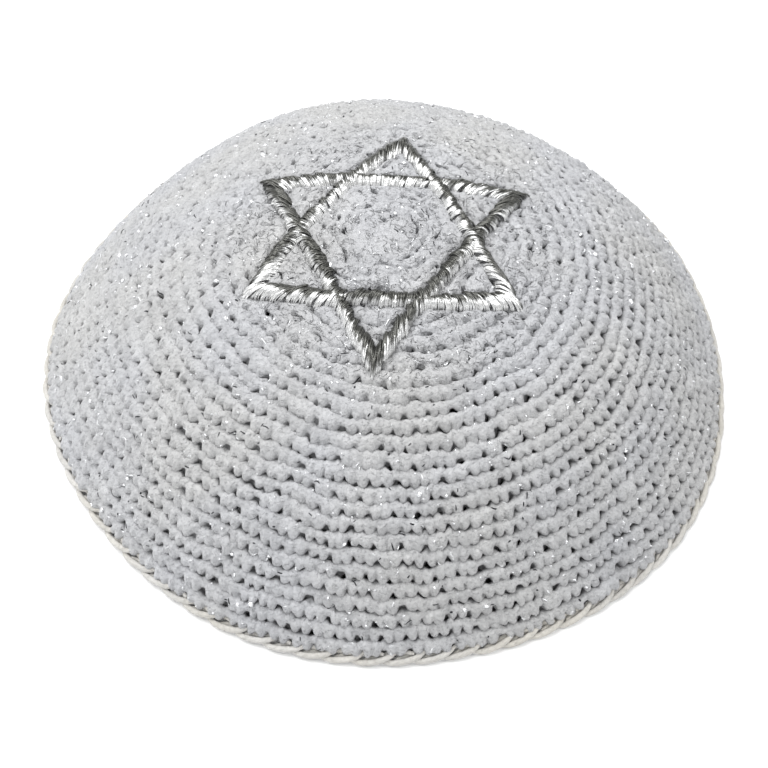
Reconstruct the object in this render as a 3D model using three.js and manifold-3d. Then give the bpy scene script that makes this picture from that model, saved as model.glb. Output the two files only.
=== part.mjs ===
// A crocheted kippah: a shallow dome worked in rounds from the crown down, a chain
// edging round its rim, and a six-pointed star embroidered on the crown.
// Millimetres, +Z up. The rim's underside lies on z = 0 and the front faces -Y.

import * as THREE from 'three';
import { mergeVertices } from 'three/addons/utils/BufferGeometryUtils.js';
import Module from 'manifold-3d';

// Driving dimensions
const rimRadius = 85; // outer radius of the rim, before its waves
const crownHeight = 48.4; // underside of the rim to the top of the crown
const wallThickness = 3.4; // two strands of yarn, one behind the other
const roundCount = 28; // crochet rounds from the crown to the edging
const ribDepth = 0.7; // how far the groove between two rounds sinks in
const edgingHeight = 2.3; // chain edging, along z
const edgingBulge = 0.45; // how far the chain stands out past the wall, each side
const starTipRadius = 35.7; // middle of the star to the point of an even tip, in plan
const starBandWidth = 3.2; // satin-stitch band, across
const starThickness = 0.9; // satin stitch, at the middle of the band
const starEdgeThickness = 0.35; // satin stitch, at the band's edges
const starTurn = -1.9; // degrees, about the crown
const starLeft = 1.6; // how far left of the crown the star's middle lies
const starForward = 0.4; // and how far in front of it
const gap = 0.3; // between two pieces that touch on the real cap

// How finely curves are divided
const segmentsAround = 48;
const innerRings = 13;
const starStepsPerSide = 14;

// Slope of the wall, from level at the crown to the rim. Between rows it changes evenly
// along the wall, so the side view is four arcs that run into each other.
const wallSlopes = [
  { along: 0.0, slopeDegrees: 0.0 },
  { along: 0.25, slopeDegrees: 12.2 },
  { along: 0.5, slopeDegrees: 29.7 },
  { along: 0.75, slopeDegrees: 49.1 },
  { along: 1.0, slopeDegrees: 54.8 },
];

// Soft waves of the rim as it lies, as shares of the radius. They fade out upwards.
const rimWaves = [
  { waves: 3, cosShare: 0.0003, sinShare: -0.0066 },
  { waves: 4, cosShare: 0.0022, sinShare: 0.0036 },
  { waves: 5, cosShare: -0.0097, sinShare: -0.0018 },
];

// The star was stitched by eye. Each tip swings a little round from its even place and
// reaches a little more or less far out. Its side to the next tip bows outwards by a
// share of the star's radius. The first three rows are one triangle.
const starTips = [
  { evenDegrees: 90, swingDegrees: -1.8, reach: 0.95, bow: 0.045 },
  { evenDegrees: 210, swingDegrees: -0.7, reach: 1.01, bow: 0.09 },
  { evenDegrees: 330, swingDegrees: 3.0, reach: 0.97, bow: 0.008 },
  { evenDegrees: 150, swingDegrees: 1.8, reach: 1.01, bow: 0.008 },
  { evenDegrees: 270, swingDegrees: -1.0, reach: 1.02, bow: 0.008 },
  { evenDegrees: 30, swingDegrees: 0.8, reach: 1.03, bow: 0 },
];

// Section of the edging: across is a share of its width, up is a share of its height.
const edgingSection = [
  { across: 0.04, up: 0.22 },
  { across: 0.0, up: 0.55 },
  { across: 0.1, up: 0.86 },
  { across: 0.3, up: 1.0 },
  { across: 0.7, up: 1.0 },
  { across: 0.9, up: 0.86 },
  { across: 1.0, up: 0.55 },
  { across: 0.96, up: 0.22 },
  { across: 0.8, up: 0.0 },
  { across: 0.2, up: 0.0 },
];

// Section of a satin-stitch band: across is a share of half its width from the middle,
// and crown says how far the point has risen from the edge's thickness to the middle's.
const bandTop = [
  { across: 1.0, crown: 0.0 },
  { across: 0.5, crown: 0.8 },
  { across: 0.0, crown: 1.0 },
  { across: -0.5, crown: 0.8 },
  { across: -1.0, crown: 0.0 },
];

// The wall's side view as a unit curve: reach is the way out from the crown's axis and
// drop the way down from its top, both in shares of the wall's length.
function unitWall(along) {
  let reach = 0;
  let drop = 0;
  for (let row = 1; row < wallSlopes.length; row += 1) {
    const from = wallSlopes[row - 1];
    const to = wallSlopes[row];
    const start = THREE.MathUtils.degToRad(from.slopeDegrees);
    const end = THREE.MathUtils.degToRad(to.slopeDegrees);
    const turnRate = (end - start) / (to.along - from.along);
    const stop = Math.min(along, to.along);
    if (stop <= from.along) break;
    const reached = start + turnRate * (stop - from.along);
    reach += (Math.sin(reached) - Math.sin(start)) / turnRate;
    drop += (Math.cos(start) - Math.cos(reached)) / turnRate;
  }
  return { reach, drop };
}

const wholeWall = unitWall(1);

// Point of the side view, moved out of the wall along its normal by lift.
function wallPoint(along, lift) {
  const scaleOut = rimRadius / wholeWall.reach;
  const scaleDown = crownHeight / wholeWall.drop;
  const step = 1e-4;
  const here = unitWall(along);
  const before = unitWall(Math.max(along - step, 0));
  const after = unitWall(Math.min(along + step, 1));
  const out = (after.reach - before.reach) * scaleOut;
  const down = (after.drop - before.drop) * scaleDown;
  const length = Math.hypot(out, down);
  return {
    radius: here.reach * scaleOut + (lift * down) / length,
    height: crownHeight - here.drop * scaleDown + (lift * out) / length,
  };
}

// Share of the wall, from the crown, at which a condition on its point first fails.
function alongWhere(holds) {
  let low = 0;
  let high = 1;
  for (let halving = 0; halving < 40; halving += 1) {
    const middle = (low + high) / 2;
    if (holds(middle)) low = middle;
    else high = middle;
  }
  return low;
}

// Turns a point of the side view about the axis and adds the rim's waves.
function placeAround(radius, height, azimuth) {
  let share = 0;
  for (const wave of rimWaves) {
    share += wave.cosShare * Math.cos(wave.waves * azimuth);
    share += wave.sinShare * Math.sin(wave.waves * azimuth);
  }
  const waved = radius * (1 + share * (radius / rimRadius) ** 2);
  return [waved * Math.cos(azimuth), waved * Math.sin(azimuth), height];
}

// Point at a place in plan, lifted off the wall's outer face.
function pointOverPlan(x, y, lift) {
  const radius = Math.hypot(x, y);
  const along = alongWhere((share) => wallPoint(share, 0).radius < radius);
  const lifted = wallPoint(along, lift);
  return placeAround(lifted.radius, lifted.height, Math.atan2(y, x));
}

// Closed body from rows of points: each row is a loop, joined to the next. Where the
// rows don't come back to the first one, a point closes each end.
function bodyFromLoops(loops, startPoint, endPoint) {
  const size = loops[0].length;
  const points = loops.flat();
  const faces = [];
  const joined = startPoint ? loops.length - 1 : loops.length;
  for (let row = 0; row < joined; row += 1) {
    const next = (row + 1) % loops.length;
    for (let column = 0; column < size; column += 1) {
      const across = (column + 1) % size;
      const a = row * size + column;
      const b = row * size + across;
      const c = next * size + across;
      const d = next * size + column;
      faces.push(a, d, c, a, c, b);
    }
  }
  if (startPoint) {
    const start = points.push(startPoint) - 1;
    const end = points.push(endPoint) - 1;
    const last = (loops.length - 1) * size;
    for (let column = 0; column < size; column += 1) {
      const across = (column + 1) % size;
      faces.push(start, column, across);
      faces.push(end, last + across, last + column);
    }
  }
  const geometry = new THREE.BufferGeometry();
  geometry.setAttribute('position', new THREE.Float32BufferAttribute(points.flat(), 3));
  geometry.setIndex(faces);
  return geometry;
}

// A loop round the cap at one point of the side view.
function loopAround(point) {
  return Array.from({ length: segmentsAround }, (_, column) =>
    placeAround(point.radius, point.height, (2 * Math.PI * column) / segmentsAround));
}

// The dome. Outside, each round is a rib between two grooves. Inside it is plain.
// Both faces end on one level, a gap above the edging.
function makeShell() {
  const foot = edgingHeight + gap;
  const outerEnd = alongWhere((share) => wallPoint(share, 0).height > foot);
  const innerEnd = alongWhere((share) => wallPoint(share, -wallThickness).height > foot);
  const loops = [];
  const halfRounds = 2 * roundCount;
  for (let half = 1; half < halfRounds; half += 1) {
    const lift = half % 2 ? 0 : -ribDepth;
    loops.push(loopAround(wallPoint((outerEnd * half) / halfRounds, lift)));
  }
  loops.push(loopAround(wallPoint(outerEnd, 0)));
  for (let ring = innerRings; ring >= 1; ring -= 1) {
    const along = (innerEnd * ring) / innerRings;
    loops.push(loopAround(wallPoint(along, -wallThickness)));
  }
  const top = [0, 0, crownHeight - ribDepth];
  const ceiling = [0, 0, crownHeight - wallThickness];
  return bodyFromLoops(loops, top, ceiling);
}

// The chain round the rim. It leans as the wall does and has a flat underside.
function makeEdging() {
  const outerTop = alongWhere((share) => wallPoint(share, 0).height > edgingHeight);
  const lean = rimRadius - wallPoint(outerTop, 0).radius;
  const innerAlong = alongWhere((share) => wallPoint(share, -wallThickness).height > edgingHeight);
  const innerTop = wallPoint(innerAlong, -wallThickness).radius;
  const width = rimRadius - lean - innerTop + 2 * edgingBulge;
  const loops = edgingSection.map(({ across, up }) => loopAround({
    radius: rimRadius + edgingBulge - lean * up - width * (1 - across),
    height: edgingHeight * up,
  }));
  return bodyFromLoops(loops);
}

// Corners of one of the star's triangles in plan: the points of its three tips.
function tipPoints(tips) {
  return tips.map(({ evenDegrees, swingDegrees, reach }) => {
    const azimuth = THREE.MathUtils.degToRad(evenDegrees + swingDegrees + starTurn);
    const radius = starTipRadius * reach;
    return new THREE.Vector2(
      radius * Math.cos(azimuth) - starLeft,
      radius * Math.sin(azimuth) - starForward,
    );
  });
}

// The same corners on the inner edge of the band.
function insetCorners(corners) {
  return corners.map((corner, index) => {
    const toNext = corners[(index + 1) % 3].clone().sub(corner).normalize();
    const toLast = corners[(index + 2) % 3].clone().sub(corner).normalize();
    const reach = starBandWidth / Math.abs(toNext.cross(toLast));
    return corner.clone().addScaledVector(toNext.add(toLast), reach);
  });
}

// One triangle of satin-stitch band, a closed ring that follows the crown.
function makeTriangle(tips) {
  const outer = tipPoints(tips);
  const inner = insetCorners(outer);
  const stations = [];
  for (let side = 0; side < outer.length; side += 1) {
    const next = (side + 1) % outer.length;
    const run = outer[next].clone().sub(outer[side]).normalize();
    const outward = new THREE.Vector2(run.y, -run.x);
    for (let step = 0; step < starStepsPerSide; step += 1) {
      const share = step / starStepsPerSide;
      const bow = starTipRadius * tips[side].bow * 4 * share * (1 - share);
      stations.push({
        outside: outer[side].clone().lerp(outer[next], share).addScaledVector(outward, bow),
        inside: inner[side].clone().lerp(inner[next], share).addScaledVector(outward, bow),
      });
    }
  }
  const rise = starThickness - starEdgeThickness;
  const loops = stations.map(({ outside, inside }) => {
    const top = bandTop.map(({ across, crown }) => {
      const place = inside.clone().lerp(outside, (across + 1) / 2);
      return pointOverPlan(place.x, place.y, gap + starEdgeThickness + rise * crown);
    });
    const under = [-1, 0, 1].map((across) => {
      const place = inside.clone().lerp(outside, (across + 1) / 2);
      return pointOverPlan(place.x, place.y, gap);
    });
    return [...top, ...under];
  });
  return bodyFromLoops(loops);
}

// The star: two triangles, joined where they cross.
async function makeStar() {
  const wasm = await Module();
  wasm.setup();
  const solids = [starTips.slice(0, 3), starTips.slice(3)].map((tips) => {
    const merged = mergeVertices(makeTriangle(tips));
    return new wasm.Manifold(new wasm.Mesh({
      numProp: 3,
      vertProperties: merged.attributes.position.array,
      triVerts: new Uint32Array(merged.index.array),
    }));
  });
  const joined = solids[0].add(solids[1]).getMesh();
  const geometry = new THREE.BufferGeometry();
  const places = new THREE.Float32BufferAttribute(joined.vertProperties, joined.numProp);
  geometry.setAttribute('position', places);
  geometry.setIndex(Array.from(joined.triVerts));
  return geometry;
}

function makePiece(name, geometry, color, roughness, metalness) {
  geometry.computeVertexNormals();
  const material = new THREE.MeshStandardMaterial({ color, roughness, metalness });
  const piece = new THREE.Mesh(geometry, material);
  piece.name = name;
  return piece;
}

const kippah = new THREE.Group();
kippah.add(makePiece('cap_shell', makeShell(), '#d9dbde', 0.9, 0));
kippah.add(makePiece('rim_edging', makeEdging(), '#e2e1dd', 0.85, 0));
kippah.add(makePiece('star_embroidery', await makeStar(), '#a3a4a0', 0.35, 0.9));

// The waves push the rim off centre a little, so the whole cap is brought back over
// the origin.
const middle = new THREE.Box3().setFromObject(kippah).getCenter(new THREE.Vector3());
kippah.position.set(-middle.x, -middle.y, 0);

export default kippah;
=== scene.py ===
import math

import bpy
import numpy as np
from mathutils import Matrix, Vector


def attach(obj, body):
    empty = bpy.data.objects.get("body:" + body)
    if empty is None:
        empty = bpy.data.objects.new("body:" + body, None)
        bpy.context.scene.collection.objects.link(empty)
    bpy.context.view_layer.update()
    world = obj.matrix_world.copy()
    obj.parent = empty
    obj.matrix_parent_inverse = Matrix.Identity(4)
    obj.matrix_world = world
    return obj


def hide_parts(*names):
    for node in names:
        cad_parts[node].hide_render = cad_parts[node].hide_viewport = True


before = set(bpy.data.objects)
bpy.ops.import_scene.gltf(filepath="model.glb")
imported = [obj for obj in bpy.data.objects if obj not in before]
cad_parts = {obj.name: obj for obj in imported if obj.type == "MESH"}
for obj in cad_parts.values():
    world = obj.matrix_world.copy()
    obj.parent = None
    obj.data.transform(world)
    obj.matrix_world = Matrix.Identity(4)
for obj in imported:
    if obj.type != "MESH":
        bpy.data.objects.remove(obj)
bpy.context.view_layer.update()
print("frame loaded")

# Everything below is worked out in millimetres in the cap's own frame, with the crown
# on the axis, and goes into Blender in metres.
metresPerMillimetre = 0.001

# The cap's shape

# These follow the part's source.
capShape = {
    "rimRadius": 85.0,
    "crownHeight": 48.4,
    "wallThickness": 3.4,
    "roundCount": 28,
    "edgingHeight": 2.3,
    "edgingBulge": 0.45,
    "gap": 0.3,
    "segmentsAround": 48,
    # share of the wall from the crown, slope in degrees
    "wallSlopes": [(0.0, 0.0), (0.25, 12.2), (0.5, 29.7), (0.75, 49.1), (1.0, 54.8)],
    # waves round the rim, cosine share, sine share
    "rimWaves": [(3, 0.0003, -0.0066), (4, 0.0022, 0.0036), (5, -0.0097, -0.0018)],
}


def unitWall(along):
    # reach out from the axis and drop from the top, in shares of the wall's length
    along = np.asarray(along, float)
    reach = np.zeros_like(along)
    drop = np.zeros_like(along)
    slope = np.zeros_like(along)
    rows = capShape["wallSlopes"]
    for (fromShare, fromSlope), (toShare, toSlope) in zip(rows, rows[1:]):
        start = math.radians(fromSlope)
        turnRate = (math.radians(toSlope) - start) / (toShare - fromShare)
        top = toShare if toShare < 1 else 9.0
        stop = np.clip(along, fromShare, top)
        reached = start + turnRate * (stop - fromShare)
        reach += (np.sin(reached) - math.sin(start)) / turnRate
        drop += (math.cos(start) - np.cos(reached)) / turnRate
        slope = np.where(along >= fromShare, reached, slope)
    return reach, drop, slope


wholeReach, wholeDrop, _ = unitWall(1.0)
scaleOut = capShape["rimRadius"] / float(wholeReach)
scaleDown = capShape["crownHeight"] / float(wholeDrop)


def wallPoint(along, lift):
    # radius and height of the side view, moved out of the wall by lift
    reach, drop, slope = unitWall(along)
    out = np.cos(slope) * scaleOut
    down = np.sin(slope) * scaleDown
    length = np.hypot(out, down)
    radius = reach * scaleOut + lift * down / length
    height = capShape["crownHeight"] - drop * scaleDown + lift * out / length
    return radius, height


def placeAround(radius, height, azimuth):
    share = np.zeros_like(azimuth)
    for waves, cosShare, sinShare in capShape["rimWaves"]:
        share = share + cosShare * np.cos(waves * azimuth) + sinShare * np.sin(waves * azimuth)
    waved = radius * (1 + share * (radius / capShape["rimRadius"]) ** 2)
    return np.stack([waved * np.cos(azimuth), waved * np.sin(azimuth), height], axis=-1)


def onWall(azimuth, along, lift):
    radius, height = wallPoint(along, lift)
    return placeAround(radius, height, azimuth)


def wallNormal(azimuth, along):
    _, _, slope = unitWall(along)
    out = np.cos(slope) * scaleOut
    down = np.sin(slope) * scaleDown
    length = np.hypot(out, down)
    sideways = down / length
    return np.stack([sideways * np.cos(azimuth), sideways * np.sin(azimuth), out / length], axis=-1)


lookupShares = np.linspace(0, 1.02, 1600)  # of the wall, from the crown to past the rim
lookupReaches, lookupDrops, _ = unitWall(lookupShares)


def alongAtRadius(radius):
    return np.interp(radius, lookupReaches * scaleOut, lookupShares)


def alongAtHeight(height):
    heights = capShape["crownHeight"] - lookupDrops * scaleDown
    return float(np.interp(-height, -heights, lookupShares))


shellEnd = alongAtHeight(capShape["edgingHeight"] + capShape["gap"])
roundShare = shellEnd / capShape["roundCount"]
wallLength = 102.8  # mm from the crown to the rim along the wall
roundHeight = wallLength * roundShare
wallMiddle = -capShape["wallThickness"] / 2  # lift of the middle of the wall


def findCentreShift():
    # the source brings the waved rim back over the origin
    segments = capShape["segmentsAround"]
    azimuths = np.arange(segments) * 2 * math.pi / segments
    lean = capShape["rimRadius"] - wallPoint(alongAtHeight(capShape["edgingHeight"]), 0)[0]
    widest = capShape["rimRadius"] + capShape["edgingBulge"] - lean * 0.55
    ring = placeAround(np.full(segments, widest), np.zeros(segments), azimuths)
    middle = (ring.min(0) + ring.max(0)) / 2
    return np.array([-middle[0], -middle[1], 0.0])


centreShift = findCentreShift()
print("cap frame shift in mm", centreShift)

# The camera

viewFrom = {
    "aim": (-0.80, -11.41, 21.25),
    "distance": 337.8,
    "elevation": 53.35,  # degrees above the floor
    "tilt": 1.67,  # how much further down it points than at its aim
    "roll": 3.03,
    "lens": 67.5,
}


def makeCamera(settings):
    elevation = math.radians(settings["elevation"])
    pitch = math.radians(settings["elevation"] + settings["tilt"])
    roll = math.radians(settings["roll"])
    back = Vector((0, -math.cos(pitch), math.sin(pitch)))
    right = Vector((1, 0, 0))
    up = Vector((0, math.sin(pitch), math.cos(pitch)))
    xAxis = right * math.cos(roll) + up * math.sin(roll)
    yAxis = up * math.cos(roll) - right * math.sin(roll)
    place = Vector(settings["aim"]) + Vector(centreShift)
    place += Vector((0, -math.cos(elevation), math.sin(elevation))) * settings["distance"]
    place *= metresPerMillimetre
    data = bpy.data.cameras.new("viewCamera")
    data.lens = settings["lens"]
    data.sensor_width = 36
    data.clip_start = 0.01
    data.clip_end = 50
    camera = bpy.data.objects.new("viewCamera", data)
    bpy.context.scene.collection.objects.link(camera)
    turned = Matrix((xAxis, yAxis, back)).transposed().to_4x4()
    camera.matrix_world = Matrix.Translation(place) @ turned
    bpy.context.scene.camera = camera
    return camera


makeCamera(viewFrom)
print("camera placed")

# Yarn: strands and the meshes they are collected in

def smoothThrough(points, samples):
    # Catmull-Rom through points[:, 1:-2], one point before and two after each row
    spans = points.shape[1] - 3
    places = np.arange(samples) * spans / samples
    first = np.floor(places).astype(int)
    share = (places - first)[None, :, None]
    a = points[:, first]
    b = points[:, first + 1]
    c = points[:, first + 2]
    d = points[:, first + 3]
    return 0.5 * (
        2 * b
        + (c - a) * share
        + (2 * a - 5 * b + 4 * c - d) * share ** 2
        + (3 * b - a - 3 * c + d) * share ** 3
    )


def unit(vectors):
    return vectors / np.maximum(np.linalg.norm(vectors, axis=-1, keepdims=True), 1e-9)


def dot(first, second):
    return (first * second).sum(-1)


def yarnSurface(centres, radii, startNormals, sides, flatness=1.0):
    # centres: strands x rings x 3
    tangents = unit(np.gradient(centres, axis=1))
    normal = startNormals
    normals = []
    for ring in range(centres.shape[1]):
        normal = normal - tangents[:, ring] * dot(normal, tangents[:, ring])[:, None]
        normal = unit(normal)
        normals.append(normal)
    normals = np.stack(normals, axis=1)
    sideways = np.cross(tangents, normals)
    angles = np.arange(sides) * 2 * math.pi / sides
    around = (
        normals[:, :, None, :] * np.cos(angles)[None, None, :, None]
        + sideways[:, :, None, :] * np.sin(angles)[None, None, :, None] * flatness
    )
    points = centres[:, :, None, :] + around * radii[:, :, None, None]
    return points, angles


def roughen(points, size, depth):
    # uneven lumps over the yarn, the same at the same place
    total = np.zeros(points.shape[:-1])
    for directions, phases, share in lumpWaves:
        waves = points @ (directions.T / size) + phases
        total = total + share * np.sin(waves[..., 0]) * np.sin(waves[..., 1] + waves[..., 2] * 0.7)
    return total * depth


def tubeFaces(strands, rings, sides, closedRow, firstIndex):
    strand, ring, side = np.meshgrid(
        np.arange(strands), np.arange(rings if closedRow else rings - 1), np.arange(sides),
        indexing="ij",
    )
    nextSide = (side + 1) % sides
    here = strand * rings + ring
    after = here + 1
    if closedRow:
        after = after % (strands * rings)
    quads = np.stack([
        here * sides + side,
        here * sides + nextSide,
        after * sides + nextSide,
        after * sides + side,
    ], axis=-1).reshape(-1, 4) + firstIndex
    groups = [quads]
    if not closedRow:
        corner = np.arange(sides)[None, :]
        firstRing = np.arange(strands)[:, None] * rings
        groups.append((firstRing * sides + corner[:, ::-1]) + firstIndex)
        groups.append(((firstRing + rings - 1) * sides + corner) + firstIndex)
    return groups


lumpSource = np.random.default_rng(5)
lumpWaves = []
for octave in range(3):
    scale = 1.5 ** octave
    lumpWaves.append((
        lumpSource.normal(0, 2.2 * scale, (3, 3)), lumpSource.uniform(0, 6.28, 3),
        0.8 / 1.35 ** octave))


class YarnMesh:
    # collects strands until they are made into one Blender object

    def __init__(self):
        self.points = []
        self.faces = []
        self.twists = []
        self.tones = []
        self.depths = []
        self.count = 0

    def add(self, centres, radii, startNormals, sides, tones, flatness=1.0):
        points, angles = yarnSurface(centres, radii, startNormals, sides, flatness)
        steps = np.linalg.norm(np.diff(centres, axis=1, prepend=centres[:, :1]), axis=-1)
        lengths = np.cumsum(steps, axis=1)
        twist = np.zeros(points.shape)
        twist[..., 0] = np.cos(angles)[None, None, :]
        twist[..., 1] = np.sin(angles)[None, None, :]
        twist[..., 2] = lengths[:, :, None]
        self.addSurface(points, twist, tones, np.ones((1, 1, 1)), False)

    def addSurface(self, points, twist, tones, depths, closedRow):
        strands, rings, sides, _ = points.shape
        self.faces += tubeFaces(strands, rings, sides, closedRow, self.count)
        self.points.append(points.reshape(-1, 3))
        self.twists.append(np.broadcast_to(twist, points.shape).reshape(-1, 3))
        if tones.ndim == 1:
            tones = tones[:, None]
        if tones.ndim == 2:
            tones = tones[..., None]
        self.tones.append(np.broadcast_to(tones, points.shape[:3]).ravel())
        self.depths.append(np.broadcast_to(depths, points.shape[:3]).ravel())
        self.count += strands * rings * sides

    def build(self, name, material, node):
        points = (np.concatenate(self.points) + centreShift) * metresPerMillimetre
        mesh = bpy.data.meshes.new(name)
        mesh.vertices.add(len(points))
        mesh.vertices.foreach_set("co", points.astype(np.float32).ravel())
        corners = np.concatenate([group.ravel() for group in self.faces])
        sizes = np.concatenate([np.full(len(group), group.shape[1]) for group in self.faces])
        starts = np.concatenate([[0], np.cumsum(sizes)[:-1]])
        mesh.loops.add(len(corners))
        mesh.loops.foreach_set("vertex_index", corners.astype(np.int32))
        mesh.polygons.add(len(sizes))
        mesh.polygons.foreach_set("loop_start", starts.astype(np.int32))
        mesh.polygons.foreach_set("use_smooth", np.ones(len(sizes), bool))
        mesh.update(calc_edges=True)
        twist = mesh.attributes.new("yarnTwist", "FLOAT_VECTOR", "POINT")
        twist.data.foreach_set("vector", np.concatenate(self.twists).astype(np.float32).ravel())
        tone = mesh.attributes.new("yarnTone", "FLOAT", "POINT")
        tone.data.foreach_set("value", np.concatenate(self.tones).astype(np.float32))
        depth = mesh.attributes.new("yarnDepth", "FLOAT", "POINT")
        depth.data.foreach_set("value", np.concatenate(self.depths).astype(np.float32))
        mesh.materials.append(material)
        piece = bpy.data.objects.new(name, mesh)
        bpy.context.scene.collection.objects.link(piece)
        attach(piece, "root")
        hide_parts(node)
        triangles = int((sizes - 2).sum())
        print(name, triangles, "triangles")
        return piece


# Materials

cottonLook = {
    "name": "softWhiteCotton",
    "pale": (0.60, 0.60, 0.606),
    "grey": (0.455, 0.455, 0.462),  # in patches, over the pale
    "hollowShade": (0.09, 0.09, 0.094),  # painted shade deep between the loops, also the colour of the specks and creases
    "speckShare": 0.35,
    "coolTint": (0.985, 0.995, 1.015),
    "warmTint": (1.005, 1.003, 0.985),
    "creaseSize": 430.0,  # this and the other sizes are noise scales, per metre
    "creaseWidth": 0.055,
    "creaseShade": 0.22,
    "creaseDepth": 0.9,
    "creaseBreaks": (0.44, 0.56),  # noise at which a crease ends and is full
    "creaseHeights": (0.0395, 0.0445),  # m over the floor, where they begin and are full
    "fluffSize": 900.0,
    "fluffDepth": 1.0,
    "fibreSize": 2600.0,
    "fibreDepth": 0.6,
}

edgingLook = {
    "name": "warmWhiteCotton",
    "pale": (0.80, 0.79, 0.765),
    "grey": (0.66, 0.65, 0.62),
    "hollowShade": (0.16, 0.14, 0.12),
    "speckShare": 0.15,
    "coolTint": (1.0, 1.0, 1.0),
    "warmTint": (1.0, 0.98, 0.93),
    "plyPitch": 2.2,  # mm along the yarn for one turn of a ply
    "plyDepth": 0.4,
    "fluffSize": 950.0,
    "fluffDepth": 0.4,
    "fibreSize": 2600.0,
    "fibreDepth": 0.35,
}

silverLook = {
    "name": "silverStarThread",
    # the tone picks between these: dark is a painted dark reflection on the shaded side, bright is
    # the silver and its painted glints
    "bright": (0.96, 0.96, 0.95),
    "dark": (0.12, 0.12, 0.11),
    "roughness": 0.26,
    "metallic": 0.6,
}

filamentLook = {
    "name": "silverFilament",
    "bright": (0.95, 0.96, 0.97),
    # near black, a painted dark reflection
    "dark": (0.03, 0.03, 0.035),
    "roughness": 0.16,
    "metallic": 0.6,
}


def newMaterial(name):
    material = bpy.data.materials.new(name)
    material.use_nodes = True
    tree = material.node_tree
    shader = tree.nodes["Principled BSDF"]
    return material, tree, shader


def addNode(tree, kind, **values):
    node = tree.nodes.new(kind)
    for key, value in values.items():
        setattr(node, key, value)
    return node


def calculate(tree, operation, first, second=None):
    node = addNode(tree, "ShaderNodeMath", operation=operation)
    for socket, value in zip(node.inputs, (first, second)):
        if value is None:
            continue
        if isinstance(value, (int, float)):
            socket.default_value = value
        else:
            tree.links.new(value, socket)
    return node.outputs[0]


def mixColours(tree, share, first, second):
    node = addNode(tree, "ShaderNodeMix", data_type="RGBA")
    tree.links.new(share, node.inputs[0])
    for socket, value in ((node.inputs[6], first), (node.inputs[7], second)):
        if isinstance(value, tuple):
            socket.default_value = (*value, 1)
        else:
            tree.links.new(value, socket)
    return node.outputs[2]


def addPlies(tree, twist, look):
    split = addNode(tree, "ShaderNodeSeparateXYZ")
    tree.links.new(twist.outputs["Vector"], split.inputs[0])
    angle = calculate(tree, "ARCTAN2", split.outputs[1], split.outputs[0])
    run = calculate(tree, "MULTIPLY", split.outputs[2], 2 * math.pi / look["plyPitch"])
    wound = calculate(tree, "MULTIPLY_ADD", angle, 2.0)
    tree.links.new(run, wound.node.inputs[2])
    plies = calculate(tree, "SINE", wound)
    return addBump(tree, plies, look["plyDepth"], 0.00012).outputs[0]


def addNoise(tree, place, scale, detail, **values):
    node = addNode(tree, "ShaderNodeTexNoise")
    node.inputs["Scale"].default_value = scale
    node.inputs["Detail"].default_value = detail
    for name, number in values.items():
        node.inputs[name].default_value = number
    tree.links.new(place.outputs["Object"], node.inputs["Vector"])
    return node


def addBump(tree, height, strength, distance, **values):
    node = addNode(tree, "ShaderNodeBump", **values)
    node.inputs["Strength"].default_value = strength
    node.inputs["Distance"].default_value = distance
    tree.links.new(height, node.inputs["Height"])
    return node


def mapRange(tree, value, low, high, start=0.0, end=1.0, curve="SMOOTHSTEP"):
    node = addNode(tree, "ShaderNodeMapRange", interpolation_type=curve)
    tree.links.new(value, node.inputs["Value"])
    for name, number in (
            ("From Min", low), ("From Max", high), ("To Min", start), ("To Max", end)):
        node.inputs[name].default_value = number
    return node.outputs["Result"]


def addCreases(tree, place, look):
    # painted shade and a bump for thin curled creases on the crown, where the loops crowd together
    curls = addNoise(tree, place, look["creaseSize"], 1.5, Distortion=0.8)
    away = calculate(tree, "ABSOLUTE", calculate(tree, "SUBTRACT", curls.outputs[0], 0.5))
    creases = mapRange(tree, away, 0.0, look["creaseWidth"], 1.0, 0.0)
    parts = addNode(tree, "ShaderNodeSeparateXYZ")
    tree.links.new(curls.outputs["Color"], parts.inputs[0])
    breaks = mapRange(tree, parts.outputs[1], *look["creaseBreaks"])
    creases = calculate(tree, "MULTIPLY", creases, breaks)
    split = addNode(tree, "ShaderNodeSeparateXYZ")
    tree.links.new(place.outputs["Object"], split.inputs[0])
    onCrown = mapRange(tree, split.outputs[2], *look["creaseHeights"])
    creases = calculate(tree, "MULTIPLY", creases, onCrown)
    return creases, addBump(tree, creases, look["creaseDepth"], 0.0005, invert=True).outputs[0]


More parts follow.
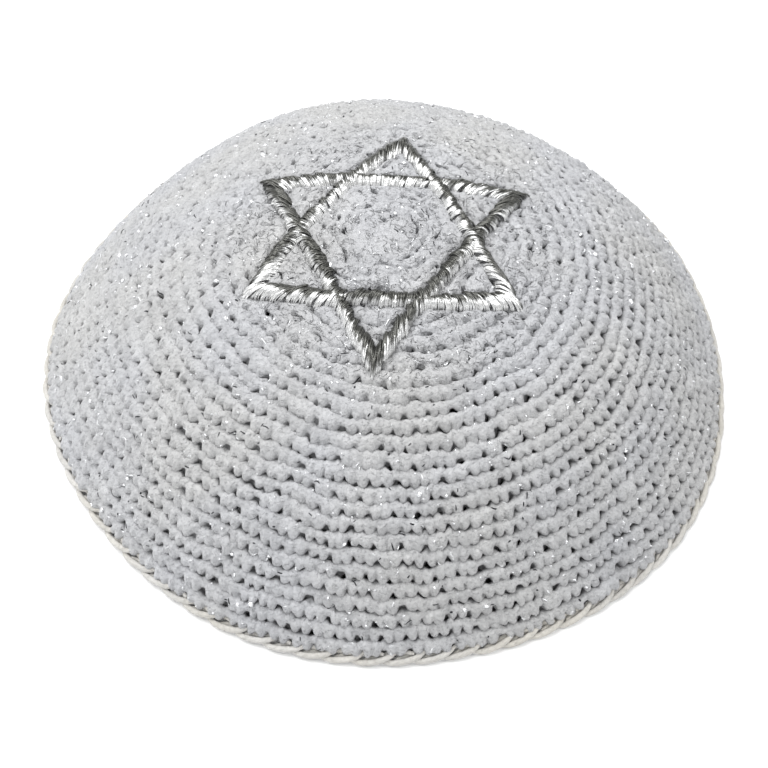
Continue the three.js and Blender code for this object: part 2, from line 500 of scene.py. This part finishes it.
def cottonMaterial(look):
    material, tree, shader = newMaterial(look["name"])
    place = addNode(tree, "ShaderNodeTexCoord")
    twist = addNode(tree, "ShaderNodeAttribute", attribute_name="yarnTwist")
    tone = addNode(tree, "ShaderNodeAttribute", attribute_name="yarnTone")
    depth = addNode(tree, "ShaderNodeAttribute", attribute_name="yarnDepth")

    # colour: patches, a tone for each stitch, and painted shade between the loops
    patches = addNoise(tree, place, 260, 4)
    speckle = addNoise(tree, place, 1300, 3)
    share = calculate(tree, "MULTIPLY_ADD", patches.outputs[0], 1.6)
    share.node.inputs[2].default_value = -0.3
    share = calculate(tree, "ADD", share, tone.outputs["Fac"])
    mottle = calculate(tree, "MULTIPLY_ADD", speckle.outputs[0], 2.0)
    mottle.node.inputs[2].default_value = -1.0
    share = calculate(tree, "ADD", share, mottle)
    share.node.use_clamp = True
    colour = mixColours(tree, share, look["pale"], look["grey"])
    tints = addNoise(tree, place, 34, 2)
    tintShare = mapRange(tree, tints.outputs[0], 0.38, 0.62, curve="LINEAR")
    tint = mixColours(tree, tintShare, look["coolTint"], look["warmTint"])
    tinted = addNode(tree, "ShaderNodeMix", data_type="RGBA", blend_type="MULTIPLY")
    tinted.inputs[0].default_value = 1.0
    tree.links.new(colour, tinted.inputs[6])
    tree.links.new(tint, tinted.inputs[7])
    colour = tinted.outputs[2]
    # dark specks in the painted shade colour, painted shadows of tiny holes and the filament
    specks = mapRange(
        tree, speckle.outputs[0], 0.60, 0.70, 0.0, look["speckShare"], curve="LINEAR")
    colour = mixColours(tree, specks, colour, look["hollowShade"])
    # painted shade: the colour goes to the hollow shade colour where the yarn lies deep
    openness = mapRange(tree, depth.outputs["Fac"], 0.15, 1.4)
    colour = mixColours(tree, openness, look["hollowShade"], colour)
    if "creaseSize" in look:
        creases, creaseNormal = addCreases(tree, place, look)
        # painted shade along the creases
        creases = calculate(tree, "MULTIPLY", creases, look["creaseShade"])
        colour = mixColours(tree, creases, colour, look["hollowShade"])
    tree.links.new(colour, shader.inputs["Base Color"])

    # bump: fluff, fibres, the crown's creases or the plies of a strand that is seen whole
    fibres = addNoise(tree, place, look["fibreSize"], 5, Roughness=0.65)
    fluff = addNoise(tree, place, look["fluffSize"], 3)
    fluffBump = addBump(tree, fluff.outputs[0], look["fluffDepth"], 0.0010)
    if "plyPitch" in look:
        tree.links.new(addPlies(tree, twist, look), fluffBump.inputs["Normal"])
    if "creaseSize" in look:
        tree.links.new(creaseNormal, fluffBump.inputs["Normal"])
    fibreBump = addBump(tree, fibres.outputs[0], look["fibreDepth"], 0.0006)
    tree.links.new(fluffBump.outputs[0], fibreBump.inputs["Normal"])
    tree.links.new(fibreBump.outputs[0], shader.inputs["Normal"])

    rough = calculate(tree, "MULTIPLY_ADD", fibres.outputs[0], 0.25)
    rough.node.inputs[2].default_value = 0.72
    tree.links.new(rough, shader.inputs["Roughness"])
    shader.inputs["Specular IOR Level"].default_value = 0.25
    shader.inputs["Sheen Weight"].default_value = 0.25
    shader.inputs["Sheen Roughness"].default_value = 0.6
    return material


def threadMaterial(look):
    material, tree, shader = newMaterial(look["name"])
    place = addNode(tree, "ShaderNodeTexCoord")
    tone = addNode(tree, "ShaderNodeAttribute", attribute_name="yarnTone")
    flecks = addNoise(tree, place, 1500, 3)
    # the tone carries painted shade and glints on the star, and painted dark reflections on the
    # filament
    share = calculate(tree, "MULTIPLY_ADD", flecks.outputs[0], 1.1)
    share.node.inputs[2].default_value = -0.3
    share = calculate(tree, "ADD", share, tone.outputs["Fac"])
    share.node.use_clamp = True
    left = calculate(tree, "SUBTRACT", 1.0, share)
    left = calculate(tree, "POWER", left, 2.2)
    colour = mixColours(tree, left, look["dark"], look["bright"])
    tree.links.new(colour, shader.inputs["Base Color"])
    rough = calculate(tree, "MULTIPLY_ADD", flecks.outputs[0], 0.2)
    rough.node.inputs[2].default_value = look["roughness"] - 0.1
    tree.links.new(rough, shader.inputs["Roughness"])
    crimp = addBump(tree, flecks.outputs[0], 0.4, 0.0001)
    tree.links.new(crimp.outputs[0], shader.inputs["Normal"])
    shader.inputs["Metallic"].default_value = look["metallic"]
    return material


cotton = cottonMaterial(cottonLook)
edgingCotton = cottonMaterial(edgingLook)
silverThread = threadMaterial(silverLook)
silverFilament = threadMaterial(filamentLook)
print("materials made")

# Where the star's bands lie

starSewing = {
    "tipRadius": 35.7,
    "bandWidth": 3.2,
    "turn": -1.9,
    "left": 1.6,
    "forward": 0.4,
    # even place in degrees, swing in degrees, reach, painted shade near the tip (below zero a
    # painted highlight); the first three are one triangle
    "tips": [
        (90, -1.8, 0.95, 1.3), (210, -0.7, 1.01, -2.2), (330, 3.0, 0.97, -2.2),
        (150, 1.8, 1.01, 1.2), (270, -1.0, 1.02, 0.3), (30, 0.8, 1.03, 0.9),
    ],
    "bows": [1.6, 3.2, 0.3, 0.3, 0.3, 0.0],  # mm that the sides bow outwards
    "shade": 2.4,  # painted shade, darker on the side towards the back and right
    "shadeEdge": 0.12,  # how unevenly the painted shade ends
    "glints": 0.04,  # share of the threads left bright on that side, as painted glints
    # the direction in plan that the painted shade lies towards
    "shadeFrom": (0.35, 0.94),
    "threadRadius": 0.13,
    "threadFlatness": 1.9,
    "threadStep": 0.27,  # mm from one thread to the next along the band
    "crown": 1.05,  # how high the middle of a thread stands over the yarn
    "bunch": 3.6,  # threads in one bunch
    "slant": 0.9,  # mm that the inner end runs ahead
    "sink": 1.0,  # how far the sewing pulls the crochet down
}


def tipPoints(tips):
    corners = []
    for evenDegrees, swingDegrees, reach, _ in tips:
        azimuth = math.radians(evenDegrees + swingDegrees + starSewing["turn"])
        radius = starSewing["tipRadius"] * reach
        corners.append((
            radius * math.cos(azimuth) - starSewing["left"],
            radius * math.sin(azimuth) - starSewing["forward"],
        ))
    return np.array(corners)


def insetCorners(corners):
    inner = []
    for index in range(3):
        toNext = corners[(index + 1) % 3] - corners[index]
        toLast = corners[(index + 2) % 3] - corners[index]
        toNext = toNext / np.hypot(*toNext)
        toLast = toLast / np.hypot(*toLast)
        cross = abs(toNext[0] * toLast[1] - toNext[1] * toLast[0])
        inner.append(corners[index] + (toNext + toLast) * starSewing["bandWidth"] / cross)
    return np.array(inner)


starSides = []  # outer start, outer end, inner start, inner end, painted shade at the two tips and bow of each band
for tips in (starSewing["tips"][:3], starSewing["tips"][3:]):
    outerCorners = tipPoints(tips)
    innerCorners = insetCorners(outerCorners)
    for side in range(3):
        after = (side + 1) % 3
        starSides.append((
            outerCorners[side], outerCorners[after], innerCorners[side], innerCorners[after],
            tips[side][3], tips[after][3], starSewing["bows"][len(starSides)]))


def sideOutward(outerStart, outerEnd):
    return unit(np.array([outerEnd[1] - outerStart[1], outerStart[0] - outerEnd[0]]))


def starPull(x, y):
    # 1 under the middle of a band, 0 away from it
    pull = np.zeros_like(x)
    for outerStart, outerEnd, innerStart, innerEnd, _, _, bow in starSides:
        start = (outerStart + innerStart) / 2
        end = (outerEnd + innerEnd) / 2
        run = end - start
        share = ((x - start[0]) * run[0] + (y - start[1]) * run[1]) / (run @ run)
        share = np.clip(share, 0, 1)
        outward = sideOutward(outerStart, outerEnd) * bow
        rise = 4 * share * (1 - share)
        away = np.hypot(
            x - start[0] - share * run[0] - outward[0] * rise,
            y - start[1] - share * run[1] - outward[1] * rise)
        fade = np.clip((starSewing["bandWidth"] * 0.5 + 1.3 - away) / 1.6, 0, 1)
        pull = np.maximum(pull, fade * fade * (3 - 2 * fade))
    return pull


# The crochet

crochet = {
    "stitchWidth": 5.1,
    "yarnRadius": 0.95,
    "pathSamples": 26,
    "tailSamples": 9,
    "columnSize": 0.50,  # mm between the columns of the mesh
    "coreDown": 0.42,
    "coreRadius": 1.06,
    "crownCoreRadius": 1.38,
    "coreShift": (-0.20, 0.36),  # mm down and out, so that a row is full above and open below
    "crownRounds": 10.5,  # rounds over which the work lies flatter and closer
    "crownFlatness": 0.48,
    "sideFlatness": 0.36,
    "flatSide": 2.6,  # azimuth in radians, the left and a little to the back
    "crest": 1.8,  # mm that the yarn stands over the middle of the wall
    "crownLumps": 0.36,  # mm
    "crownLumpSize": 0.9,
    "crownPaleness": 1.35,  # mm added to the depth on the crown, so its hollows get less painted shade
    # mm added to the depth on the left, for less painted shade there
    "sidePaleness": 0.45,
    "softness": 7.5,  # per mm, how sharply one strand's surface gives way to the next
    "fusing": 0.13,  # mm that the fusing adds
    "stitchSway": 0.06,  # shares of a stitch, one stitch against the next
    "pointSway": 0.035,
    "outSway": 0.10,  # mm
    "roundSway": 0.07,  # shares of a round, slow drift along a row
    "warp": 0.42,  # mm, drift of the whole work
    "crownWarp": 1.5,  # mm more of it on the crown
    "lumps": 0.10,  # mm
    "lumpSizes": (1.9, 0.8),
    "fewestStitches": (5, 8),  # in the first round and in any other
    "bandEnds": [12, 17, 21, 25, 28],  # rounds at which the pieces end
    # degrees round a row's section, from outwards by way of the rim to the inside
    "sectionAngles": [
        -90, -74, -59, -45, -32, -19, -6, 7, 20, 33, 46, 59, 72, 86, 101,
        118, 138, 160, 182, 204, 226, 248],
}

# One stitch: across in stitch widths, down in rounds, out in mm, share of the yarn radius
stitchPath = np.array([
    (-0.15, 1.02, -0.90, 0.80),  # behind the work
    (0.30, 0.00, -0.90, 0.75),  # into the hole of the round before
    (0.27, 0.19, 0.30, 1.00),  # left leg
    (0.25, 0.42, 0.80, 1.10),
    (0.25, 0.66, 0.78, 1.12),
    (0.26, 0.89, 0.32, 1.04),
    (0.31, 1.06, -0.70, 0.65),
    (0.46, 1.10, -0.95, 0.65),  # under the stitch
    (0.63, 1.06, -0.70, 0.75),
    (0.68, 0.90, 0.32, 1.06),  # right leg
    (0.68, 0.68, 0.78, 1.18),
    (0.62, 0.42, 0.86, 1.22),
    (0.53, 0.18, 0.50, 1.12),
    (0.47, -0.03, -0.80, 0.80),
])

# The loop's tail, which lies over the next stitch's shoulder
tailPath = np.array([
    (0.62, 0.64, 0.40, 0.75),
    (0.80, 0.38, 0.66, 0.95),
    (0.96, 0.14, 0.50, 0.90),
    (1.10, -0.06, 0.00, 0.65),
    (1.16, -0.18, -0.60, 0.35),
])

random = np.random.default_rng(18)
swayPhases = random.uniform(0, 2 * math.pi, (9, 3))


def slowSway(azimuth, down):
    # a soft field over the cap, about -1 to 1
    total = np.zeros_like(azimuth + down)
    for index, (first, second, third) in enumerate(swayPhases):
        around = 2 + index * 2
        total += np.sin(around * azimuth + first + 0.35 * down * math.cos(third)) / 3
        total += 0.2 * np.sin(3 * around * azimuth + second + 0.9 * down)
    return total / 1.6


def stitchesIn(roundIndex):
    firstRound, otherRounds = crochet["fewestStitches"]
    if roundIndex == 0:
        return firstRound
    radius = wallPoint((roundIndex + 0.5) * roundShare, wallMiddle)[0]
    return max(otherRounds, round(2 * math.pi * float(radius) / crochet["stitchWidth"]))


def drift(azimuth, along):
    # the work is a little uneven, most of all on the crown
    reach, _, _ = unitWall(along)
    radius = reach * scaleOut
    x = radius * np.cos(azimuth)
    y = radius * np.sin(azimuth)
    amount = crochet["warp"] + crochet["crownWarp"] * np.exp(-(radius / 24) ** 2)
    shiftX = np.sin(0.31 * x + 0.12 * y + 1.1) + 0.7 * np.sin(0.55 * y - 0.27 * x + 2.3)
    shiftY = np.sin(0.36 * y - 0.17 * x + 0.4) + 0.7 * np.sin(0.62 * x + 0.19 * y + 5.1)
    x = x + amount * 0.6 * shiftX
    y = y + amount * 0.6 * shiftY
    edge = np.clip((1 - along) / 0.12, 0, 1)
    newAlong = alongAtRadius(np.hypot(x, y))
    newAlong = along + (newAlong - along) * edge
    return np.arctan2(y, x), newAlong


def placeYarn(across, down, out, roundIndex, count, turn):
    # across counts stitches round the row, down counts rounds in it, out is in mm
    azimuth = 2 * math.pi * (across + turn) / count
    down = roundIndex + down
    down = down + crochet["roundSway"] * slowSway(azimuth, down) * min(1, roundIndex / 4)
    along = np.maximum(down * roundShare, 0.002)
    azimuth, along = drift(azimuth, along)
    flat = onWall(azimuth, along, wallMiddle)
    pull = starPull(flat[..., 0], flat[..., 1])
    points = onWall(azimuth, along, out + wallMiddle - starSewing["sink"] * pull)
    points[..., 2] = np.maximum(points[..., 2], 0.1)
    return points, wallNormal(azimuth, along)


def strandSamples(path, samples, count, sway):
    # centres and radii of small balls along the yarn of every stitch in a round
    points = np.repeat(path[None], count, 0)
    points[..., :2] += sway[..., :2]
    points[..., 2] += sway[..., 2]
    points[..., :2] += random.normal(0, crochet["pointSway"], (count, len(path), 2))
    points[..., 2] += random.normal(0, crochet["outSway"], (count, len(path)))
    before = points[:, :1] * 2 - points[:, 1:2]
    after = points[:, -1:] * 2 - points[:, -2:-1]
    return smoothThrough(np.concatenate([before, points, after, after], 1), samples)


def fuseStitches(balls, count, width, columns, core):
    # distance from the middle of the row to the yarn's surface, for each column and angle
    angles = np.radians(crochet["sectionAngles"])
    across = np.arange(columns) * count / columns
    own = np.floor(across).astype(int)
    near = own[:, None] + np.array([-1, 0, 1])[None, :]
    laps = near // count
    picked = balls[near % count].copy()
    picked[..., 0] += (near + 0.0)[:, :, None]
    picked = picked.reshape(columns, -1, 4)
    alongRow = (picked[..., 0] - across[:, None]) * width
    below = (picked[..., 1] - crochet["coreDown"]) * roundHeight
    outside = picked[..., 2]
    reached = (
        below[:, None, :] * np.sin(angles)[None, :, None]
        + outside[:, None, :] * np.cos(angles)[None, :, None])
    away = (alongRow ** 2 + below ** 2 + outside ** 2)[:, None, :] - reached ** 2
    rest = (picked[..., 3] ** 2)[:, None, :] - away
    surface = reached + np.sign(rest) * np.sqrt(np.abs(rest))
    coreMiddle = crochet["coreShift"][0] * np.sin(angles) + crochet["coreShift"][1] * np.cos(angles)
    coreAway = crochet["coreShift"][0] ** 2 + crochet["coreShift"][1] ** 2 - coreMiddle ** 2
    core = coreMiddle + np.sqrt(core ** 2 - coreAway)
    highest = surface.max(-1)
    highest = np.maximum(highest, core)
    total = np.exp(crochet["softness"] * (surface - highest[..., None])).sum(-1)
    total = total + np.exp(crochet["softness"] * (core - highest))
    return across, angles, highest + np.log(total) / crochet["softness"] - crochet["fusing"]


def crownShareOf(roundIndex):
    return math.exp(-(roundIndex / crochet["crownRounds"]) ** 3)


def sideShareOf(azimuth):
    return (0.5 + 0.5 * np.cos(azimuth - crochet["flatSide"])) ** 2


def flattenWork(out, azimuth, roundIndex):
    # the yarn lies flatter on the crown and on the left
    stands = 1 - crochet["crownFlatness"] * crownShareOf(roundIndex)
    stands = stands * (1 - crochet["sideFlatness"] * sideShareOf(azimuth))
    flatten = 1 - stands
    return out + flatten * (crochet["crest"] - out) * np.clip(out / 0.15, 0, 1)


def crochetRound(yarn, filaments, roundIndex, turn):
    count = stitchesIn(roundIndex)
    width = 2 * math.pi * float(wallPoint((roundIndex + 0.5) * roundShare, 0)[0]) / count
    narrow = max(0.62, min(1.0, width / crochet["stitchWidth"]) ** 0.8)
    looseness = 1 + 1.8 * math.exp(-(roundIndex / 7) ** 2)
    sway = random.normal(0, crochet["stitchSway"] * looseness, (count, 1, 3)) * (1, 0.7, 0)
    sway[..., 2] = random.normal(0, crochet["outSway"], (count, 1))
    thickness = crochet["yarnRadius"] * narrow * random.normal(1, 0.06, (count, 1))
    loops = strandSamples(stitchPath, crochet["pathSamples"], count, sway)
    tails = strandSamples(tailPath, crochet["tailSamples"], count, sway)
    balls = np.concatenate([loops, tails], 1)
    balls[..., 3] *= thickness
    columns = int(round(count * width / crochet["columnSize"]))
    crownShare = crownShareOf(roundIndex)
    core = crochet["coreRadius"] * (1 - crownShare) + crochet["crownCoreRadius"] * crownShare
    across, angles, reach = fuseStitches(balls, count, width, columns, core)

    def surfaceAt(reach):
        down = crochet["coreDown"] + reach * np.sin(angles) / roundHeight
        azimuth = 2 * math.pi * (across[:, None] + turn) / count
        out = flattenWork(reach * np.cos(angles), azimuth, roundIndex)
        points, _ = placeYarn(across[:, None], down, out, roundIndex, count, turn)
        return points, out

    points, _ = surfaceAt(reach)
    wideLumps, smallLumps = crochet["lumpSizes"]
    reach = reach + roughen(points, wideLumps, crochet["lumps"])
    reach = reach + roughen(points, smallLumps, crochet["lumps"] * 0.4)
    reach = reach + roughen(points, crochet["crownLumpSize"], crochet["crownLumps"] * crownShare)
    points, out = surfaceAt(reach)
    side = sideShareOf(2 * math.pi * (across[:, None] + turn) / count)
    # how deep the yarn lies, which sets the painted shade between the loops
    depths = np.abs(out) + crochet["crownPaleness"] * crownShare + crochet["sidePaleness"] * side
    tones = random.normal(0.12, 0.10, count)
    tones = np.interp(across, np.arange(count + 1), np.append(tones, tones[0]))
    yarn.addSurface(points[None], np.zeros(3), tones[None], depths[None], True)
    layFilaments(filaments, reach, count, width, roundIndex, turn)


# The filament's strokes, the short bits that catch the light, and the plump loops that
# shine white: how many a stitch, shortest and longest in mm, radius in mm, painted dark share
filamentKinds = [
    (0.45, 0.7, 2.0, 0.10, 0.5),
    (0.8, 0.25, 0.9, 0.17, 0.08),
    (0.09, 0.5, 1.2, 0.40, 0.0),
]


def reachAt(reach, across, angle, count):
    # the fused surface between its columns and angles
    columns = len(reach)
    angles = np.radians(crochet["sectionAngles"])
    column = across * columns / count
    firstColumn = np.floor(column).astype(int)
    columnShare = column - firstColumn
    place = np.interp(angle, angles, np.arange(len(angles)))
    row = np.clip(np.floor(place).astype(int), 0, len(angles) - 2)
    rowShare = place - row
    here = reach[firstColumn % columns, row] * (1 - rowShare)
    here = here + reach[firstColumn % columns, row + 1] * rowShare
    after = reach[(firstColumn + 1) % columns, row] * (1 - rowShare)
    after = after + reach[(firstColumn + 1) % columns, row + 1] * rowShare
    return here * (1 - columnShare) + after * columnShare


def layFilaments(filaments, reach, count, width, roundIndex, turn):
    # the silver filament comes up over the yarn in short strokes and shorter bits
    for perStitch, shortest, longest, radius, dark in filamentKinds:
        amount = random.poisson(perStitch * count)
        if not amount:
            continue
        bearing = random.uniform(0, 2 * math.pi, (amount, 1))
        length = random.uniform(shortest, longest, (amount, 1))
        bend = random.normal(0, 0.35, (amount, 1))
        step = np.linspace(-0.5, 0.5, 5)[None, :] * length
        across = random.uniform(0, count, (amount, 1)) + step * np.cos(bearing) / width
        angle = np.radians(random.uniform(-60, 80, (amount, 1)))
        angle = angle + (step * np.sin(bearing) + bend * (step ** 2)) / 1.9
        lift = 0.02 + random.uniform(-0.3, 1.0, (amount, 1)) * radius
        far = reachAt(reach, across, angle, count) + lift
        far[:, [0, -1]] -= radius * 1.2
        down = crochet["coreDown"] + far * np.sin(angle) / roundHeight
        azimuth = 2 * math.pi * (across + turn) / count
        out = flattenWork(far * np.cos(angle), azimuth, roundIndex)
        centres, normals = placeYarn(across, down, out, roundIndex, count, turn)
        radii = radius * random.uniform(0.5, 1.2, (amount, 1))
        radii = radii * np.array([0.5, 1, 1, 1, 0.5])[None, :]
        # some bits are painted near black as a painted dark reflection, the rest are bright
        tones = np.where(random.random(amount) < dark, 0.8, -0.4)
        filaments.add(centres, radii, normals[:, 0], 4, tones, flatness=1.5)


filaments = YarnMesh()
turn = 0.0
roundIndex = 0
for number, bandEnd in enumerate(crochet["bandEnds"]):
    yarn = YarnMesh()
    while roundIndex < bandEnd:
        crochetRound(yarn, filaments, roundIndex, turn)
        turn += random.uniform(0.3, 0.7)
        roundIndex += 1
    yarn.build(f"crochet_rounds_{number + 1}", cotton, "cap_shell")
filaments.build("silver_filament", silverFilament, "cap_shell")
print("crochet made")

# The chain edging

chainEdging = {
    "stitchCount": 78,
    "yarnRadius": 0.68,
    "rings": 11,
    "sides": 10,
    "sway": 0.035,
}

# A strand of the chain: across in stitch widths, height over the floor in mm,
# out from the middle of the wall in mm, share of the yarn radius
chainStrand = np.array([
    (-0.30, 0.80, -0.30, 0.60),
    (-0.12, 0.82, 0.40, 0.85),
    (0.15, 0.92, 0.82, 1.00),
    (0.50, 1.30, 0.98, 1.05),
    (0.85, 1.80, 0.86, 1.00),
    (1.10, 2.20, 0.35, 0.85),
    (1.25, 2.45, -0.30, 0.60),
])


def chainPlace(local, count):
    azimuth = 2 * math.pi * local[..., 0] / count
    along = 1 - 0.0098 * local[..., 1]
    radius, _ = wallPoint(along, 0)
    radius = radius - 1.75 + local[..., 2]
    return placeAround(radius, local[..., 1], azimuth), azimuth


def makeEdging():
    chain = YarnMesh()
    count = chainEdging["stitchCount"]
    for inward in (1, -1):
        points = np.repeat(chainStrand[None], count, 0)
        points[..., :2] += random.normal(0, chainEdging["sway"], (count, 1, 2))
        points[..., 0] += random.normal(0, 0.02, (count, len(chainStrand)))
        points[..., 2] = points[..., 2] * inward + random.normal(0, 0.05, (count, 1))
        points[..., 0] += np.arange(count)[:, None] + (0.5 if inward < 0 else 0)
        spread = points[:, :1] * 2 - points[:, 1:2]
        beyond = points[:, -1:] * 2 - points[:, -2:-1]
        both = np.concatenate([spread, points, beyond, beyond], 1)
        local = smoothThrough(both, chainEdging["rings"])
        local[..., 1] = np.maximum(local[..., 1], chainEdging["yarnRadius"] * local[..., 3] + 0.02)
        centres, azimuth = chainPlace(local, count)
        radii = chainEdging["yarnRadius"] * local[..., 3]
        outward = np.stack([np.cos(azimuth), np.sin(azimuth), np.zeros_like(azimuth)], -1)
        tones = random.normal(0.15, 0.12, count)
        chain.add(centres, radii, outward[:, 0], chainEdging["sides"], tones)
    chain.build("chain_edging", edgingCotton, "rim_edging")


makeEdging()
print("edging made")

# The star's threads


def makeStar():
    star = YarnMesh()
    crown = starSewing["crown"]
    # share of the band from its inner to its outer edge, height of the thread
    profile = np.array([
        (-0.03, -1.2), (0.04, -0.35), (0.13, 0.25), (0.25, 0.62), (0.38, 0.88), (0.50, 1.0),
        (0.62, 0.88), (0.75, 0.62), (0.87, 0.25), (0.96, -0.35), (1.03, -1.2),
    ])
    for outerStart, outerEnd, innerStart, innerEnd, startShade, endShade, bow in starSides:
        length = math.hypot(*(outerEnd - outerStart))
        count = int(length / starSewing["threadStep"])
        shares = (np.arange(count) + 0.5) / count
        # threads lie in bunches, one for each stitch of the needle
        bunches = np.floor(np.arange(count) / starSewing["bunch"] + random.random()).astype(int)
        bunchRise = random.normal(0, 0.16, bunches.max() + 1)[bunches]
        bunchEnds = random.normal(0, 0.12, (bunches.max() + 1, 2))[bunches]
        bunchSlant = random.normal(1, 0.5, bunches.max() + 1)[bunches]
        bunchTone = random.normal(0, 0.08, bunches.max() + 1)[bunches]
        shadeEdge = random.normal(0, starSewing["shadeEdge"], bunches.max() + 1)[bunches]
        wave = np.sin(shares * length / 2.3 + random.uniform(0, 6)) * 0.05
        wave = wave + np.sin(shares * length / 5.1 + random.uniform(0, 6)) * 0.06
        shares = shares + random.normal(0, 0.0014, count)
        slant = starSewing["slant"] * bunchSlant / length
        ends = bunchEnds + random.normal(0, 0.03, (count, 2))
        raised = crown * (1 + bunchRise + random.normal(0, 0.07, count))
        middle = 0.5 + wave + ends[:, 0] * 0.5
        half = 1 + ends[:, 1]
        across = middle[:, None] + (profile[None, :, 0] - 0.5) * half[:, None]
        share = shares[:, None] + slant[:, None] * (0.5 - across)
        share = np.clip(share, 0.0, 1.0)
        outer = outerStart + (outerEnd - outerStart) * share[..., None]
        inner = innerStart + (innerEnd - innerStart) * share[..., None]
        plan = inner + (outer - inner) * across[..., None]
        outward = sideOutward(outerStart, outerEnd)
        plan = plan + outward * bow * (4 * share * (1 - share))[..., None]
        azimuth = np.arctan2(plan[..., 1], plan[..., 0])
        along = alongAtRadius(np.hypot(plan[..., 0], plan[..., 1]))
        lift = profile[None, :, 1] * raised[:, None]
        centres = onWall(azimuth, along, lift)
        normals = wallNormal(azimuth, along)
        radii = np.full(centres.shape[:2], starSewing["threadRadius"])
        radii = radii * random.normal(1, 0.08, (count, 1))
        # painted shade: threads on the side of a band towards shadeFrom get the dark colour, the
        # rest the bright one, and a few stay bright as painted glints
        turned = float(outward @ starSewing["shadeFrom"])
        facesBack = (across - 0.5) * 2 * turned / (abs(turned) + 0.12)
        glints = np.where(random.random(count) < starSewing["glints"], -1.3, 0)
        tones = (bunchTone + glints + random.normal(0.74, 0.08, count))[:, None]
        tones = tones + starSewing["shade"] * (facesBack + shadeEdge[:, None])
        # more painted shade near some tips, a painted highlight near others
        for corner, tipShade in ((outerStart, startShade), (outerEnd, endShade)):
            near = np.hypot(plan[..., 0] - corner[0], plan[..., 1] - corner[1])
            tones = tones + tipShade * np.clip(1.6 - near / 7.0, 0, 1)
        star.add(
            centres, radii, normals[:, 5], 4, tones, flatness=starSewing["threadFlatness"])
    star.build("star_threads", silverThread, "star_embroidery")


makeStar()
print("star made")

# Floor and light

studio = {
    "floorSize": 8.0,
    "floorColour": (0.96, 0.96, 0.96),
    "worldColour": (0.95, 0.97, 1.0),
    "worldStrength": 0.29,
    # name, place in m, size in m, watts
    "lamps": [
        ("backSoftbox", (-0.50, 0.40, 1.20), 1.50, 25.6),
        ("rightSoftbox", (1.15, 0.10, 0.95), 0.60, 6.5),
        ("frontSoftbox", (-0.25, -0.95, 1.00), 0.60, 6.0),
    ],
}


def makeStudio(settings):
    half = settings["floorSize"] / 2
    mesh = bpy.data.meshes.new("floor")
    mesh.from_pydata(
        [(-half, -half, 0), (half, -half, 0), (half, half, 0), (-half, half, 0)], [],
        [(0, 1, 2, 3)])
    floor = bpy.data.objects.new("floor", mesh)
    bpy.context.scene.collection.objects.link(floor)
    material, tree, shader = newMaterial("palePaper")
    grain = addNode(tree, "ShaderNodeTexNoise")
    grain.inputs["Scale"].default_value = 60
    share = calculate(tree, "MULTIPLY", grain.outputs[0], 0.15)
    colour = mixColours(tree, share, settings["floorColour"], (0.93, 0.93, 0.93))
    tree.links.new(colour, shader.inputs["Base Color"])
    shader.inputs["Roughness"].default_value = 0.9
    shader.inputs["Specular IOR Level"].default_value = 0.2
    mesh.materials.append(material)

    for name, place, size, watts in settings["lamps"]:
        data = bpy.data.lights.new(name, "AREA")
        data.shape = "SQUARE"
        data.size = size
        data.energy = watts
        lamp = bpy.data.objects.new(name, data)
        lamp.location = place
        lamp.rotation_mode = "QUATERNION"
        lamp.rotation_quaternion = (-Vector(place)).to_track_quat("-Z", "Y")
        bpy.context.scene.collection.objects.link(lamp)

    world = bpy.data.worlds.new("studioWorld")
    bpy.context.scene.world = world
    world.use_nodes = True
    background = world.node_tree.nodes["Background"]
    background.inputs["Color"].default_value = (*settings["worldColour"], 1)
    background.inputs["Strength"].default_value = settings["worldStrength"]
    bpy.context.scene.view_settings.view_transform = "Standard"


makeStudio(studio)
print("studio made")
